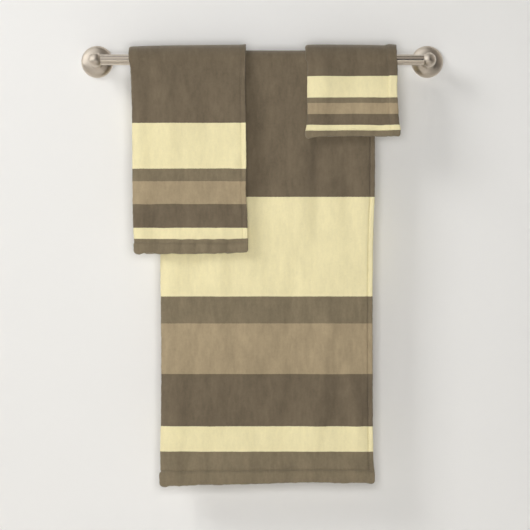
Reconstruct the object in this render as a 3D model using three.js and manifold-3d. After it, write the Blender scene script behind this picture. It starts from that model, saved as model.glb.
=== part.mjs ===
// A set of three towels, bath, hand and wash, hung on a wall-mounted rail.
// Millimetres, +Z up. The origin is the middle of the left bracket's back pad, on the wall face.
// The rail runs along +X, the wall is the plane y = 0, and the towels hang in front of it at y < 0.
import * as THREE from "three";
import { mergeVertices } from "three/addons/utils/BufferGeometryUtils.js";
import Module from "manifold-3d";

const wasm = await Module();
wasm.setup();

// Clearance kept between neighbours that touch on the real object
const FIT = 0.3;

// Rail
const POST_SPACING = 590;
const STAND_OFF = 67;
const TUBE_R = 9.525;
const TUBE_WALL = 1.2;

// Post: domed rose, neck and ball in one casting. The tube's socket is bored into the ball.
const ROSE_R = 28.5;
const ROSE_RIM = 3;
const RIM_CHAMFER = 0.4;
const SHOULDER_R = 11.5;
const SHOULDER_DEPTH = 13.5;
const SHOULDER_TURN = 0.9;
const NECK_R = 8.2;
const NECK_DEPTH = 22;
const BALL_R = 13;
const SOCKET_R = TUBE_R + FIT;
// The socket's floor, measured along the rail from the post's own axis
const SOCKET_FLOOR = -0.7;
const RECESS_R = 24;
const RECESS_DEPTH = 7.5;

// Nylon bush in each end of the tube
const BUSH_FLANGE = 1.2;
const BUSH_LENGTH = 14;
const BUSH_WALL = 1.8;

// Concealed wall fixing under each rose
const BRACKET_R = 20.5;
const BRACKET_PLATE = 2;
const BRACKET_RIM = 2.2;
const BRACKET_HEIGHT = 6.5;
const PAD_RISE = 0.5;
const PAD_WIDTH = 18;
const PAD_HEIGHT = 12;
const SCREW_PITCH = 22;
const SCREW_SHANK_R = 2;
const SCREW_POINT = 4;
const SCREW_HEAD_R = 3.9;
const SCREW_HEAD_HEIGHT = 2.2;
const SCREW_LENGTH = 32;
const CROSS_SLOT = [3.6, 2.4, 0.9];
const PLUG_R = 3;
const PLUG_LENGTH = 30;
const SET_SCREW_R = 2;
const SET_SCREW_LENGTH = 6.6;
const SET_SCREW_DEPTH = 3.6;
const HEX_KEY_R = 1.1;
const HEX_KEY_DEPTH = 1.5;

// Towels: each is folded in half along its length and hung over the rail near its middle, so
// each drop is two layers of cloth. The inner radius is that of the cloth's path over the rail.
const LAYER = 3.2;
const FOLD_GAP = 0.3;
const DOUBLE = 2 * LAYER + FOLD_GAP;
const HEM_EXTRA = 0.35;
const INNER_DRAPE_R = 9.9;
const OUTER_DRAPE_R = 20.1;
const LABEL_THICKNESS = 0.5;
const LABEL_INSET = 14;
const LABEL_RISE = 6;

// left and right are the edges along the rail, front and back the drops below its axis, hem the
// height of the hems, and bend how far down the front starts to lift.
const TOWELS = [
  {
    name: "bath_towel",
    left: 115,
    right: 493,
    radius: INNER_DRAPE_R,
    front: 749,
    back: 733,
    hem: 22,
    bend: 395,
    label: [30, 42],
    color: 0x706553,
  },
  {
    name: "hand_towel",
    left: 64,
    right: 267,
    radius: OUTER_DRAPE_R,
    front: 342,
    back: 295,
    hem: 18,
    bend: 0,
    label: [26, 36],
    color: 0x726755,
  },
  {
    name: "washcloth",
    left: 372,
    right: 535,
    radius: OUTER_DRAPE_R,
    front: 135,
    back: 121,
    hem: 12,
    bend: 0,
    label: [22, 28],
    color: 0x6e6250,
  },
];

const nickel = { color: 0xb4a892, roughness: 0.32, metalness: 1 };
const steel = { color: 0x9a9a98, roughness: 0.45, metalness: 1 };
const nylon = { color: 0xe6e4dd, roughness: 0.6, metalness: 0 };
const ribbon = { color: 0xf2f0ea, roughness: 0.7, metalness: 0 };

const towelSet = new THREE.Group();

// Solids ------------------------------------------------------------------------------------

function solid(geometry) {
  const g = geometry.index ? geometry.toNonIndexed() : geometry.clone();
  g.deleteAttribute("normal");
  g.deleteAttribute("uv");
  const merged = mergeVertices(g, 1e-4);
  return new wasm.Manifold(
    new wasm.Mesh({
      numProp: 3,
      vertProperties: new Float32Array(merged.attributes.position.array),
      triVerts: new Uint32Array(merged.index.array),
    }),
  );
}

function geometryOf(manifold) {
  const mesh = manifold.getMesh();
  const geometry = new THREE.BufferGeometry();
  const position = new Float32Array(mesh.numVert * 3);
  for (let i = 0; i < mesh.numVert; i += 1) {
    const start = i * mesh.numProp;
    position.set(mesh.vertProperties.subarray(start, start + 3), i * 3);
  }
  geometry.setAttribute("position", new THREE.BufferAttribute(position, 3));
  geometry.setIndex(new THREE.BufferAttribute(new Uint32Array(mesh.triVerts), 1));
  geometry.computeVertexNormals();
  return geometry;
}

function add(name, shape, look) {
  const geometry = shape.isBufferGeometry ? shape : geometryOf(shape);
  const mesh = new THREE.Mesh(geometry, new THREE.MeshStandardMaterial(look));
  mesh.name = name;
  towelSet.add(mesh);
  return mesh;
}

// A body turned on the Y axis. Each profile point is [radius, depth], and depth is measured from
// the wall into the room.
function turned(profile, segments) {
  const points = profile.map(([radius, depth]) => new THREE.Vector2(radius, depth));
  return new THREE.LatheGeometry(points, segments).rotateX(Math.PI);
}

function cylinder(radius, length, segments) {
  return new THREE.CylinderGeometry(radius, radius, length, segments);
}

// Rail and its two ends ---------------------------------------------------------------------

// The rose: a flat rim, a convex dome and a short concave flare into the neck.
function roseProfile() {
  const steps = 6;
  const profile = [[ROSE_R - RIM_CHAMFER, 0], [ROSE_R, RIM_CHAMFER], [ROSE_R, ROSE_RIM]];
  for (let i = 1; i <= steps; i += 1) {
    const a = (i / steps) * (Math.PI / 2) * SHOULDER_TURN;
    const radius = SHOULDER_R + (ROSE_R - SHOULDER_R) * Math.cos(a);
    profile.push([radius, ROSE_RIM + (SHOULDER_DEPTH - ROSE_RIM) * Math.sin(a)]);
  }
  const [flareR, flareDepth] = profile[profile.length - 1];
  for (let i = 1; i <= steps; i += 1) {
    const a = (i / steps) * (Math.PI / 2);
    const radius = NECK_R + (flareR - NECK_R) * (1 - Math.sin(a));
    profile.push([radius, flareDepth + (NECK_DEPTH - flareDepth) * (1 - Math.cos(a))]);
  }
  return profile;
}

// side is 1 when the socket opens towards +X.
function postSolid(side) {
  const overrun = 4;
  const rose = [[0, 0], ...roseProfile(), [NECK_R, STAND_OFF], [0, STAND_OFF]];
  const ball = new THREE.SphereGeometry(BALL_R, 32, 20).translate(0, -STAND_OFF, 0);
  const socketLength = BALL_R + overrun;
  const socket = cylinder(SOCKET_R, socketLength, 32).rotateZ(Math.PI / 2);
  const socketX = side * (SOCKET_FLOOR + socketLength / 2);
  const recess = cylinder(RECESS_R, RECESS_DEPTH * 2, 40);
  const holeLength = 2 * (ROSE_R - RECESS_R + overrun);
  const setHole = cylinder(SET_SCREW_R + FIT / 2, holeLength, 16).rotateX(Math.PI / 2);
  return solid(turned(rose, 40))
    .add(solid(ball))
    .subtract(solid(socket.translate(socketX, -STAND_OFF, 0)))
    .subtract(solid(recess))
    .subtract(solid(setHole.translate(0, -SET_SCREW_DEPTH, -(RECESS_R + ROSE_R) / 2)));
}

// Stamped steel dish screwed to the wall. A shallow pad in the middle of its back meets the wall.
function bracketSolid() {
  const floor = PAD_RISE + BRACKET_PLATE;
  const dish = turned(
    [
      [0, PAD_RISE],
      [BRACKET_R, PAD_RISE],
      [BRACKET_R, BRACKET_HEIGHT],
      [BRACKET_R - BRACKET_RIM, BRACKET_HEIGHT],
      [BRACKET_R - BRACKET_RIM, floor],
      [0, floor],
    ],
    32,
  );
  const padDepth = PAD_RISE + BRACKET_PLATE / 2;
  const pad = new THREE.BoxGeometry(PAD_WIDTH, padDepth, PAD_HEIGHT).translate(0, -padDepth / 2, 0);
  let bracket = solid(dish).add(solid(pad));
  for (const end of [-1, 1]) {
    const hole = cylinder(SCREW_SHANK_R + FIT, 3 * floor, 16);
    bracket = bracket.subtract(solid(hole.translate(0, 0, (end * SCREW_PITCH) / 2)));
  }
  return bracket;
}

// Pan-head wall screw with a cross recess, its shank running into the wall.
function wallScrewSolid() {
  const seat = PAD_RISE + BRACKET_PLATE + FIT;
  const top = seat + SCREW_HEAD_HEIGHT;
  const profile = [
    [0, seat - SCREW_LENGTH],
    [SCREW_SHANK_R, seat - SCREW_LENGTH + SCREW_POINT],
    [SCREW_SHANK_R, seat],
    [SCREW_HEAD_R, seat],
    [SCREW_HEAD_R, seat + SCREW_HEAD_HEIGHT / 2],
    [SCREW_HEAD_R * 0.7, top],
    [0, top],
  ];
  let screw = solid(turned(profile, 16));
  for (const turn of [0, Math.PI / 2]) {
    const slot = new THREE.BoxGeometry(...CROSS_SLOT).rotateY(turn);
    screw = screw.subtract(solid(slot.translate(0, -top, 0)));
  }
  return screw;
}

// Nylon plug in the wall, with a hole for the screw.
function wallPlugSolid() {
  const tube = cylinder(PLUG_R, PLUG_LENGTH, 16).translate(0, PLUG_LENGTH / 2 + FIT, 0);
  const bore = cylinder(SCREW_SHANK_R + FIT, PLUG_LENGTH + 2, 16);
  return solid(tube).subtract(solid(bore.translate(0, PLUG_LENGTH / 2, 0)));
}

// Hexagon-socket set screw in the underside of the rose. It bears on the bracket's rim.
function setScrewSolid() {
  const half = SET_SCREW_LENGTH / 2;
  const body = cylinder(SET_SCREW_R, SET_SCREW_LENGTH, 16).rotateX(Math.PI / 2);
  const key = cylinder(HEX_KEY_R, 2 * HEX_KEY_DEPTH, 6).rotateX(Math.PI / 2);
  const screw = solid(body).subtract(solid(key.translate(0, 0, -half)));
  return screw.translate([0, -SET_SCREW_DEPTH, -BRACKET_R - FIT - half]);
}

// Bush pressed into the end of the tube: a flange against the socket and a hollow sleeve.
function bushSolid() {
  const flangeR = TUBE_R - 0.4;
  const sleeveR = TUBE_R - TUBE_WALL - FIT;
  const boreR = sleeveR - BUSH_WALL;
  const profile = [
    [0, 0],
    [flangeR, 0],
    [flangeR, BUSH_FLANGE],
    [sleeveR, BUSH_FLANGE],
    [sleeveR, BUSH_LENGTH - 1],
    [sleeveR - 1, BUSH_LENGTH],
    [boreR, BUSH_LENGTH],
    [boreR, 2.5 * BUSH_FLANGE],
    [0, 2.5 * BUSH_FLANGE],
  ];
  return solid(turned(profile, 24));
}

function addRail() {
  const tubeStart = SOCKET_FLOOR + 2 * FIT + BUSH_FLANGE;
  const tubeLength = POST_SPACING - 2 * tubeStart;
  const bore = cylinder(TUBE_R - TUBE_WALL, tubeLength + 10, 40).rotateZ(Math.PI / 2);
  const tube = solid(cylinder(TUBE_R, tubeLength, 40).rotateZ(Math.PI / 2)).subtract(solid(bore));
  add("rail_tube", tube, nickel).position.set(POST_SPACING / 2, -STAND_OFF, 0);
  for (const [end, x, side] of [["left", 0, 1], ["right", POST_SPACING, -1]]) {
    add(`post_${end}`, postSolid(side), nickel).position.x = x;
    add(`wall_bracket_${end}`, bracketSolid(), steel).position.x = x;
    add(`set_screw_${end}`, setScrewSolid(), steel).position.x = x;
    const bush = add(`rail_bush_${end}`, bushSolid(), nylon);
    bush.rotation.z = (Math.PI / 2) * side;
    bush.position.set(x + side * (SOCKET_FLOOR + FIT), -STAND_OFF, 0);
    for (const [row, z] of [["upper", SCREW_PITCH / 2], ["lower", -SCREW_PITCH / 2]]) {
      add(`wall_screw_${end}_${row}`, wallScrewSolid(), steel).position.set(x, 0, z);
      add(`wall_plug_${end}_${row}`, wallPlugSolid(), nylon).position.set(x, 0, z);
    }
  }
}

// Towels ------------------------------------------------------------------------------------

// A drop of folded cloth, seen from above: two layers joined by a round fold at the left and open
// at the right, extruded upwards. near and far are its room-side and wall-side faces.
function foldedDrop(left, right, near, far, bottom, top) {
  const middle = (near + far) / 2;
  const radius = (far - near) / 2;
  const slit = FOLD_GAP / 2;
  const fold = left + radius;
  const outline = new THREE.Shape();
  outline.moveTo(right, near);
  outline.lineTo(right, middle - slit);
  outline.lineTo(fold, middle - slit);
  outline.lineTo(fold, middle + slit);
  outline.lineTo(right, middle + slit);
  outline.lineTo(right, far);
  outline.lineTo(fold, far);
  outline.absarc(fold, middle, radius, Math.PI / 2, (3 * Math.PI) / 2, false);
  const settings = { depth: top - bottom, bevelEnabled: false, curveSegments: 8 };
  return new THREE.ExtrudeGeometry(outline, settings).translate(0, 0, bottom);
}

// A sewn hem: the same folded outline, a little thicker than the drop above it.
function hem(left, right, near, far, bottom, top) {
  return foldedDrop(left, right, near - HEM_EXTRA, far + HEM_EXTRA, bottom, top);
}

// The half ring of cloth that passes over the rail.
function saddle(towel) {
  const ring = new THREE.Shape();
  ring.absarc(0, 0, towel.radius + DOUBLE, 0, Math.PI, false);
  ring.lineTo(-towel.radius, 0);
  ring.absarc(0, 0, towel.radius, Math.PI, 0, true);
  const depth = towel.right - towel.left;
  const settings = { depth, bevelEnabled: false, curveSegments: 16 };
  const geometry = new THREE.ExtrudeGeometry(ring, settings);
  geometry.rotateX(Math.PI / 2).rotateZ(Math.PI / 2);
  return geometry.translate(towel.left, -STAND_OFF, 0);
}

// The part of the front that lifts. Its top edge is a round bead centred on the swing axis.
function liftingDrop(left, right, near, far, bottom, swing) {
  const bead = cylinder((far - near) / 2, right - left, 24).rotateZ(Math.PI / 2);
  bead.translate((left + right) / 2, (near + far) / 2, swing);
  return solid(foldedDrop(left, right, near, far, bottom, swing)).add(solid(bead));
}

function careLabel(towel, drapedBack) {
  const [width, height] = towel.label;
  const label = new THREE.BoxGeometry(width, LABEL_THICKNESS, height);
  return label.translate(
    towel.right - LABEL_INSET - width / 2,
    drapedBack + HEM_EXTRA + FIT + LABEL_THICKNESS / 2,
    -towel.back + towel.hem + LABEL_RISE + height / 2,
  );
}

function addTowel(towel) {
  const look = { color: towel.color, roughness: 0.95, metalness: 0 };
  const { name, left, right, radius } = towel;
  const near = -STAND_OFF - radius - DOUBLE;
  const far = -STAND_OFF - radius;
  const backNear = -STAND_OFF + radius;
  const backFar = backNear + DOUBLE;
  const frontHemTop = -towel.front + towel.hem;
  const backHemTop = -towel.back + towel.hem;
  const swing = -towel.bend - FIT - DOUBLE / 2;

  add(`${name}_saddle`, saddle(towel), look);
  if (towel.bend > 0) {
    add(`${name}_front_upper`, foldedDrop(left, right, near, far, -towel.bend, -FIT), look);
  }
  const lifting = liftingDrop(left, right, near, far, frontHemTop + FIT, swing);
  add(`${name}_front_drop`, lifting, look);
  add(`${name}_front_hem`, hem(left, right, near, far, -towel.front, frontHemTop), look);
  add(`${name}_back_drop`, foldedDrop(left, right, backNear, backFar, backHemTop + FIT, -FIT), look);
  add(`${name}_back_hem`, hem(left, right, backNear, backFar, -towel.back, backHemTop), look);
  add(`${name}_care_label`, careLabel(towel, backFar), ribbon);
}

addRail();
TOWELS.forEach(addTowel);

export default towelSet;
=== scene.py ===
import math

import bmesh
import bpy
import numpy as np
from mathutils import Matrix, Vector


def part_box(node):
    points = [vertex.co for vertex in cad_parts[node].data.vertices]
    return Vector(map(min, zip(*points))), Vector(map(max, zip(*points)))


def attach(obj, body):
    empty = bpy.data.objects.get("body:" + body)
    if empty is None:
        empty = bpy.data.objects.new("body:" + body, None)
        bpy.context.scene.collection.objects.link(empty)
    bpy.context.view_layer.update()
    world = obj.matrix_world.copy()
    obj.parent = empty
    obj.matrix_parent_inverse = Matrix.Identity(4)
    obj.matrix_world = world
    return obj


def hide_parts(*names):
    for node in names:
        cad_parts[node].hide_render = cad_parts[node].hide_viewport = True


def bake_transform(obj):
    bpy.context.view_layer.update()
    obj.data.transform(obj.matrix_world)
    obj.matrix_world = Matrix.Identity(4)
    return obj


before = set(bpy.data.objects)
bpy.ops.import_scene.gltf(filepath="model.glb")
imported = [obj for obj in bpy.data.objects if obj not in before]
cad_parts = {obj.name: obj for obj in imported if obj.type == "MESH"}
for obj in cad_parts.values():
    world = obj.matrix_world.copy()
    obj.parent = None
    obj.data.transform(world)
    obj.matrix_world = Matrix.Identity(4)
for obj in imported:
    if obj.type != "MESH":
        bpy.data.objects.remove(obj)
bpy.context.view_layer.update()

# ---------------------------------------------------------------- camera
# A long lens, level and square to the wall, a little right of the rail's middle.
TUBE_LOW, TUBE_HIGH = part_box("rail_tube")
RAIL_X = (TUBE_LOW[0] + TUBE_HIGH[0]) / 2
RAIL_Y = (TUBE_LOW[1] + TUBE_HIGH[1]) / 2
RAIL_Z = (TUBE_LOW[2] + TUBE_HIGH[2]) / 2
TUBE_R = (TUBE_HIGH[2] - TUBE_LOW[2]) / 2

VIEW_DISTANCE = 6.09
VIEW_WIDTH = 0.938
VIEW_RIGHT = 0.0049
VIEW_DROP = 0.3631

lens = bpy.data.cameras.new("camera")
lens.sensor_width = 36.0
lens.lens = lens.sensor_width * VIEW_DISTANCE / VIEW_WIDTH
lens.clip_start = 0.1
lens.clip_end = 100.0
camera = bpy.data.objects.new("camera", lens)
camera.location = (RAIL_X + VIEW_RIGHT, RAIL_Y - VIEW_DISTANCE, RAIL_Z - VIEW_DROP)
camera.rotation_euler = (math.radians(90), 0, 0)
bpy.context.collection.objects.link(camera)
bpy.context.scene.camera = camera
bpy.context.scene.view_settings.view_transform = "Standard"


# ---------------------------------------------------------------- wall, floor and light
# A matt painted wall behind the set and a pale floor well below it. The wall is one-sided, so
# the set can be looked at from behind. Neither is part of the object.
class Wire:
    """A shader socket that can be used in sums: each sum adds its Math node."""

    def __init__(self, finish, socket):
        self.finish = finish
        self.socket = socket

    def math(self, operation, *others):
        settings = {"operation": operation}
        inputs = {i: value for i, value in enumerate((self, *others))}
        return self.finish.node("ShaderNodeMath", settings, inputs)

    def __add__(self, other):
        return self.math("ADD", other)

    def __sub__(self, other):
        return self.math("SUBTRACT", other)

    def __mul__(self, other):
        return self.math("MULTIPLY", other)

    def __truediv__(self, other):
        return self.math("DIVIDE", other)

    def __rsub__(self, other):
        return self.math("MULTIPLY", -1.0) + other

    __radd__ = __add__
    __rmul__ = __mul__

    def least(self, other):
        return self.math("MINIMUM", other)

    def power(self, other):
        return self.math("POWER", other)

    def between(self, low, high, start=0.0, end=1.0):
        """start below low and end above high, with a smooth step from one to the other."""
        settings = {"interpolation_type": "SMOOTHSTEP"}
        inputs = {"Value": self, "From Min": low, "From Max": high, "To Min": start, "To Max": end}
        return self.finish.node("ShaderNodeMapRange", settings, inputs)


def add_node(tree, kind, settings=None, inputs=None):
    made = tree.nodes.new(kind)
    for name, value in (settings or {}).items():
        setattr(made, name, value)
    for name, value in (inputs or {}).items():
        value = getattr(value, "socket", value)
        if isinstance(value, bpy.types.NodeSocket):
            tree.links.new(value, made.inputs[name])
        else:
            made.inputs[name].default_value = value
    return made


class Finish:
    """The nodes of one material, or of the world."""

    def __init__(self, name, world=None):
        self.material = world or bpy.data.materials.new(name)
        self.material.use_nodes = True
        self.tree = self.material.node_tree
        self.tree.nodes.clear()
        kind = "ShaderNodeOutputWorld" if world else "ShaderNodeOutputMaterial"
        self.output = self.tree.nodes.new(kind)

    def node(self, kind, settings=None, inputs=None, out=0):
        return Wire(self, add_node(self.tree, kind, settings, inputs).outputs[out])

    def shown(self, shader):
        self.tree.links.new(shader.socket, self.output.inputs["Surface"])
        return self.material

    def place(self):
        return self.node("ShaderNodeTexCoord", out="Object")

    def attribute(self, name):
        return self.node("ShaderNodeAttribute", {"attribute_name": name}, out="Vector")

    def parts(self, vector):
        made = add_node(self.tree, "ShaderNodeSeparateXYZ", None, {0: vector})
        return [Wire(self, socket) for socket in made.outputs]

    def joined(self, x, y, z):
        return self.node("ShaderNodeCombineXYZ", None, {"X": x, "Y": y, "Z": z})

    def noise(self, vector, scale, detail=2.0, roughness=0.5):
        inputs = {"Vector": vector, "Scale": scale, "Detail": detail, "Roughness": roughness}
        return self.node("ShaderNodeTexNoise", {"noise_dimensions": "3D"}, inputs, "Fac")

    def mixed(self, share, first, second, blend="MIX"):
        settings = {"data_type": "RGBA", "blend_type": blend}
        return self.node("ShaderNodeMix", settings, {0: share, 6: first, 7: second}, 2)

    def bump(self, height, distance, strength=1.0):
        inputs = {"Height": height, "Distance": distance, "Strength": strength}
        return self.node("ShaderNodeBump", None, inputs)

    def coat(self, **inputs):
        named = {name.replace("_", " "): value for name, value in inputs.items()}
        return self.node("ShaderNodeBsdfPrincipled", None, named)

    def surface(self, **inputs):
        return self.shown(self.coat(**inputs))


def linear(red, green, blue):
    """A display colour, from 0 to 255, as linear light."""
    def channel(value):
        value = value / 255
        if value <= 0.04045:
            return value / 12.92
        return ((value + 0.055) / 1.055) ** 2.4
    return (channel(red), channel(green), channel(blue), 1.0)


def plain_mesh(name, points, faces, smooth=True):
    mesh = bpy.data.meshes.new(name)
    mesh.from_pydata([tuple(p) for p in points], [], faces)
    mesh.update()
    mesh.polygons.foreach_set("use_smooth", [smooth] * len(mesh.polygons))
    made = bpy.data.objects.new(name, mesh)
    bpy.context.collection.objects.link(made)
    return made


def wall_paint():
    paint = Finish("wall_paint")
    grain = paint.noise(paint.place(), 900.0, 3.0)
    shade = paint.noise(paint.place(), 1.3, 1.0)
    colour = paint.mixed(shade, linear(240, 239, 237), linear(236, 235, 232))
    coat = paint.coat(
        Base_Color=colour,
        Roughness=0.9,
        Specular_IOR_Level=0.0,
        Normal=paint.bump(grain, 0.0001, 0.3),
    )
    clear = paint.node("ShaderNodeBsdfTransparent")
    behind = paint.node("ShaderNodeNewGeometry", out="Backfacing")
    return paint.shown(paint.node("ShaderNodeMixShader", None, {0: behind, 1: coat, 2: clear}))


def floor_paint():
    paint = Finish("floor_paint")
    grain = paint.noise(paint.place(), 60.0, 3.0)
    colour = paint.mixed(grain, linear(232, 229, 224), linear(226, 222, 216))
    return paint.surface(Base_Color=colour, Roughness=0.85, Specular_IOR_Level=0.0)


AIM = Vector((RAIL_X, RAIL_Y, RAIL_Z - 0.33))
FADE_START, FADE_END = 0.72, 1.7


def far_paint(name, pale):
    """Clear near the set and evenly pale away from it, where the lamps no longer reach."""
    paint = Finish(name)
    centre = paint.joined(*AIM)
    places = {0: paint.place(), 1: centre}
    away = paint.node("ShaderNodeVectorMath", {"operation": "DISTANCE"}, places, out=1)
    behind = paint.node("ShaderNodeNewGeometry", out="Backfacing")
    share = away.between(FADE_START, FADE_END) * (1.0 - behind)
    clear = paint.node("ShaderNodeBsdfTransparent")
    glow = paint.node("ShaderNodeEmission", None, {"Color": pale, "Strength": 1.0})
    return paint.shown(paint.node("ShaderNodeMixShader", None, {0: share, 1: clear, 2: glow}))


STAGE_REACH = 7.0
WALL_Y = 0.0006
FLOOR_Z = -1.02
WALL_TOP = 2.6
FAR_GAP = 0.0004


def sheet(name, corners, material):
    made = plain_mesh(name, corners, [(0, 1, 2, 3)], smooth=False)
    made.data.materials.append(material)
    return made


def wall_sheet(name, y, material):
    """An upright sheet from the floor up, facing the room."""
    ends = ((-1, FLOOR_Z), (1, FLOOR_Z), (1, WALL_TOP), (-1, WALL_TOP))
    return sheet(name, [(STAGE_REACH * x, y, z) for x, z in ends], material)


def floor_sheet(name, z, material):
    """A level sheet under the set."""
    ends = ((-1, -1), (1, -1), (1, 1), (-1, 1))
    return sheet(name, [(STAGE_REACH * x, STAGE_REACH * y, z) for x, y in ends], material)


wall = wall_sheet("wall", WALL_Y, wall_paint())
floor = floor_sheet("floor", FLOOR_Z, floor_paint())
pale_wall = far_paint("far_wall", linear(231, 229, 225))
pale_floor = far_paint("far_floor", linear(222, 219, 214))
far_wall = wall_sheet("far_wall", WALL_Y - FAR_GAP, pale_wall)
far_floor = floor_sheet("far_floor", FLOOR_Z + FAR_GAP, pale_floor)
for far in (far_wall, far_floor):
    far.visible_diffuse = False
    far.visible_glossy = False
    far.visible_shadow = False


def soft_light(name, turn, lift, distance, size, watts):
    """A soft light of size (width, height). turn is its angle to the left of straight ahead of
    the wall, and lift its angle above level, both in degrees."""
    turn, lift = math.radians(turn), math.radians(lift)
    level = math.cos(lift)
    away = Vector((-level * math.sin(turn), -level * math.cos(turn), math.sin(lift)))
    lamp = bpy.data.lights.new(name, "AREA")
    lamp.shape = "RECTANGLE"
    lamp.size, lamp.size_y = size
    lamp.energy = watts
    made = bpy.data.objects.new(name, lamp)
    made.location = AIM + away * distance
    made.rotation_euler = (-away).to_track_quat("-Z", "Y").to_euler()
    made.visible_camera = False
    made.visible_glossy = False
    bpy.context.collection.objects.link(made)


soft_light("key_light", 49, 31.5, 3.2, (1.25, 1.25), 42.0)
soft_light("front_light", 0, 0, 3.6, (1.2, 1.1), 67.5)
soft_light("back_light", 215, 25, 3.6, (2.0, 2.0), 40.0)
wall.visible_shadow = False

# Only the metal sees the room. It is light at the left and dim at the right, where it is darkest
# from a little below eye level upwards. Near the ceiling it is dim on both sides.
BACKDROP = 0.80
bpy.context.scene.world = bpy.data.worlds.new("soft_room")
room = Finish("soft_room", bpy.context.scene.world)
to_right, _, to_top = room.parts(room.node("ShaderNodeTexCoord", out="Generated"))
half_dim = to_right.between(-0.03, 0.03, 0.96, 0.54)
right_dark = to_right.between(-0.02, 0.04)
band = to_top.between(-0.42, -0.12) * to_top.between(0.10, 0.62, 1.0, 0.0)
darkest = right_dark * band * -0.54 * to_right.between(0.30, 0.60, 1.0, 0.0)
window = to_right.between(-0.55, -0.25, 1.0, 0.0) * to_top.between(-0.35, -0.10)
window = window * to_top.between(0.45, 0.75, 0.75, 0.0)
upper_right = to_right.between(-0.10, 0.15) * to_top.between(-0.30, 0.05)
upper_right = upper_right * to_right.between(0.50, 0.80, 1.0, 0.15)
mirrored = half_dim + darkest + band * -0.14 + window
mirrored = mirrored * (upper_right * -0.60 + 1.0) * to_top.between(0.86, 0.99, 1.0, 0.45)
seen = room.node("ShaderNodeLightPath", out="Is Camera Ray") * BACKDROP
strength = mirrored * room.node("ShaderNodeLightPath", out="Is Glossy Ray") + seen
tint = room.mixed(right_dark, (1.0, 1.0, 0.99, 1.0), (1.0, 0.92, 0.82, 1.0))
room.shown(room.node("ShaderNodeBackground", None, {"Color": tint, "Strength": strength}))

# ---------------------------------------------------------------- rail tube
# A drawn steel tube with a brushed-nickel finish. Fine lines run along it, and its ends sit in
# the sockets of the two posts.


def nickel(name, direction):
    """Brushed nickel. direction is "along" for a tube on X, or "round" for a casting on Y."""
    metal = Finish(name)
    x, y, z = metal.parts(metal.place())
    if direction == "along":
        lines = metal.joined(x * 6.0, y * 900.0, z * 900.0)
    else:
        radius = (x * x + z * z).power(0.5)
        lines = metal.joined(radius * 900.0, y * 700.0, x * 8.0)
    brushed = metal.noise(lines, 1.0, 3.0, 0.6)
    cloudy = metal.noise(metal.place(), 45.0, 2.0)
    colour = metal.mixed(brushed, (0.61, 0.54, 0.46, 1), (0.71, 0.635, 0.545, 1))
    colour = metal.mixed(cloudy * 0.25, colour, (0.52, 0.44, 0.36, 1))
    return metal.surface(
        Base_Color=colour,
        Metallic=1.0,
        Roughness=(0.12 if direction == "along" else 0.29) + brushed * 0.08 + cloudy * 0.05,
        Normal=metal.bump(brushed, 0.00004, 0.5),
    )


def turned(name, profile, steps, axis, centre):
    """A closed turned body. profile is (radius, along) from one end to the other, both ends on
    the axis, and axis is the direction that along counts in."""
    along = Vector(axis)
    side = Vector((0, 0, 1))
    other = along.cross(side)
    points, faces, rings = [], [], []
    for radius, distance in profile:
        start = Vector(centre) + along * distance
        if radius < 1e-7:
            rings.append([len(points)])
            points.append(start)
            continue
        rings.append(list(range(len(points), len(points) + steps)))
        for i in range(steps):
            a = 2 * math.pi * i / steps
            points.append(start + (side * math.cos(a) + other * math.sin(a)) * radius)
    for low, high in zip(rings, rings[1:]):
        for i in range(steps):
            j = (i + 1) % steps
            ends = ((low, i), (low, j), (high, j), (high, i))
            corners = [ring[k % len(ring)] for ring, k in ends]
            faces.append(list(dict.fromkeys(corners)))
    made = plain_mesh(name, points, faces)
    recalculate(made)
    return made


def recalculate(made):
    shape = bmesh.new()
    shape.from_mesh(made.data)
    bmesh.ops.remove_doubles(shape, verts=shape.verts, dist=1e-7)
    bmesh.ops.recalc_face_normals(shape, faces=shape.faces)
    shape.to_mesh(made.data)
    shape.free()
    made.data.update()


def sharpen(made, degrees=32):
    made.data.set_sharp_from_angle(angle=math.radians(degrees))


TUBE_WALL = 0.0012
TUBE_CHAMFER = 0.0004
half_tube = (TUBE_HIGH[0] - TUBE_LOW[0]) / 2
bore_r = TUBE_R - TUBE_WALL
tube_profile = [
    (bore_r, -half_tube),
    (TUBE_R - TUBE_CHAMFER, -half_tube),
    (TUBE_R, -half_tube + TUBE_CHAMFER),
    (TUBE_R, half_tube - TUBE_CHAMFER),
    (TUBE_R - TUBE_CHAMFER, half_tube),
    (bore_r, half_tube),
    (bore_r, -half_tube),
]
rail = turned("rail", tube_profile, 96, (1, 0, 0), (RAIL_X, RAIL_Y, RAIL_Z))
sharpen(rail)
rail.data.materials.append(nickel("brushed_nickel_tube", "along"))
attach(rail, "rail")
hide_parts("rail_tube")

# ---------------------------------------------------------------- posts
# Each post is one zinc casting: a domed rose on the wall, a neck, and a ball with the socket for
# the end of the tube. It is brushed and nickel plated, and a set screw under the rose locks it.
ROSE_R = 0.0285
ROSE_RIM = 0.003
SHOULDER_R = 0.0115
SHOULDER_DEPTH = 0.0135
SHOULDER_TURN = 0.90
NECK_R = 0.0082
NECK_DEPTH = 0.022
BALL_R = 0.013
SOCKET_R = TUBE_R + 0.0003
SOCKET_FLOOR = -0.0007
RECESS_R = 0.024
RECESS_DEPTH = 0.0075
SET_SCREW_DEPTH = 0.0036
SET_HOLE_R = 0.00215


def arc(count, turn=math.pi / 2):
    return [turn * i / count for i in range(1, count + 1)]


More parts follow.
